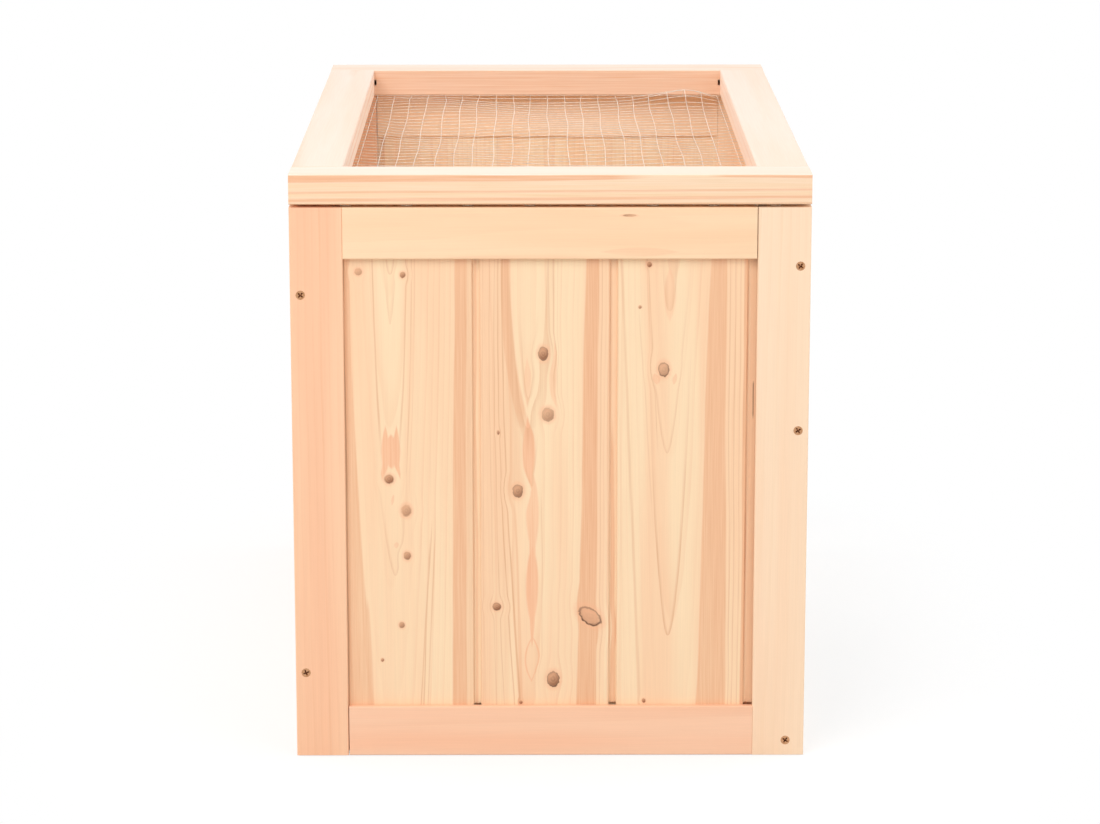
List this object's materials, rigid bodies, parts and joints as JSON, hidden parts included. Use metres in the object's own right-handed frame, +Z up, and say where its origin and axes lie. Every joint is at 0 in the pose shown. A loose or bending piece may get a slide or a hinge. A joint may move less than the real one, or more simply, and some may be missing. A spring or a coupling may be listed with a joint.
{
  "type": "hamster cage",
  "caption": "Wooden hamster cage with framed tongue-and-groove walls, a hinged wire mesh lid and a clear front with sliding doors.",
  "frame": {"origin": "centre of the base on the surface that the cage stands on", "axes": "+Z up, +Y along the length away from the end panel in the picture, +X towards the clear front"},
  "size_m": [0.5055, 0.8054, 0.58],
  "materials": {
    "fir_frame": "planed, unfinished",
    "fir_board": "planed, unfinished",
    "floor_plywood": "sanded",
    "clear_acrylic": "polished, clear",
    "galvanised_wire": "galvanised",
    "yellow_zinc_screw": "yellow zinc plate",
    "zinc_hinge_steel": "bright zinc plate"
  },
  "bodies": {
    "cage": {"back_board_1": "fir_board", "back_board_2": "fir_board", "back_board_3": "fir_board", "back_board_4": "fir_board", "back_board_5": "fir_board", "back_rail_bottom": "fir_frame", "back_rail_top": "fir_frame", "back_stile_far": "fir_frame", "back_stile_near": "fir_frame", "far_board_1": "fir_board", "far_board_2": "fir_board", "far_board_3": "fir_board", "far_end_screws": "yellow_zinc_screw", "far_rail_bottom": "fir_frame", "far_rail_top": "fir_frame", "far_stile_back": "fir_frame", "far_stile_front": "fir_frame", "floor_cleat_back": "fir_frame", "floor_cleat_far": "fir_frame", "floor_cleat_near": "fir_frame", "floor_panel": "floor_plywood", "front_sill": "fir_frame", "hinge_far_pin": "zinc_hinge_steel", "hinge_far_wall_leaf": "zinc_hinge_steel", "hinge_near_pin": "zinc_hinge_steel", "hinge_near_wall_leaf": "zinc_hinge_steel", "hinge_wall_screws": "zinc_hinge_steel", "near_board_1": "fir_board", "near_board_2": "fir_board", "near_board_3": "fir_board", "near_end_screws": "yellow_zinc_screw", "near_rail_bottom": "fir_frame", "near_rail_top": "fir_frame", "near_stile_back": "fir_frame", "near_stile_front": "fir_frame", "window_pane": "clear_acrylic", "window_rail_top": "fir_frame", "window_rail_track": "fir_frame", "window_stile_far": "fir_frame", "window_stile_near": "fir_frame"},
    "lid": {"hinge_far_lid_leaf": "zinc_hinge_steel", "hinge_lid_screws": "zinc_hinge_steel", "hinge_near_lid_leaf": "zinc_hinge_steel", "lid_rail_back": "fir_frame", "lid_rail_far": "fir_frame", "lid_rail_front": "fir_frame", "lid_rail_near": "fir_frame", "mesh_cross_wires": "galvanised_wire", "mesh_long_wires": "galvanised_wire", "mesh_staples": "galvanised_wire"},
    "door_near": {"door_near_pane": "clear_acrylic", "door_near_pull": "clear_acrylic"},
    "door_far": {"door_far_pane": "clear_acrylic", "door_far_pull": "clear_acrylic"}
  },
  "joints": [
    {"name": "lid_hinge", "type": "hinge", "parent": "cage", "child": "lid", "pos_m": [-0.2529, 0, 0.5495], "axis": [0, -1, 0], "range_deg": [0, 180]},
    {"name": "door_near_slide", "type": "slide", "parent": "cage", "child": "door_near", "axis": [0, 1, 0], "range_m": [0, 0.3622]},
    {"name": "door_far_slide", "type": "slide", "parent": "cage", "child": "door_far", "axis": [0, -1, 0], "range_m": [0, 0.3622]}
  ]
}
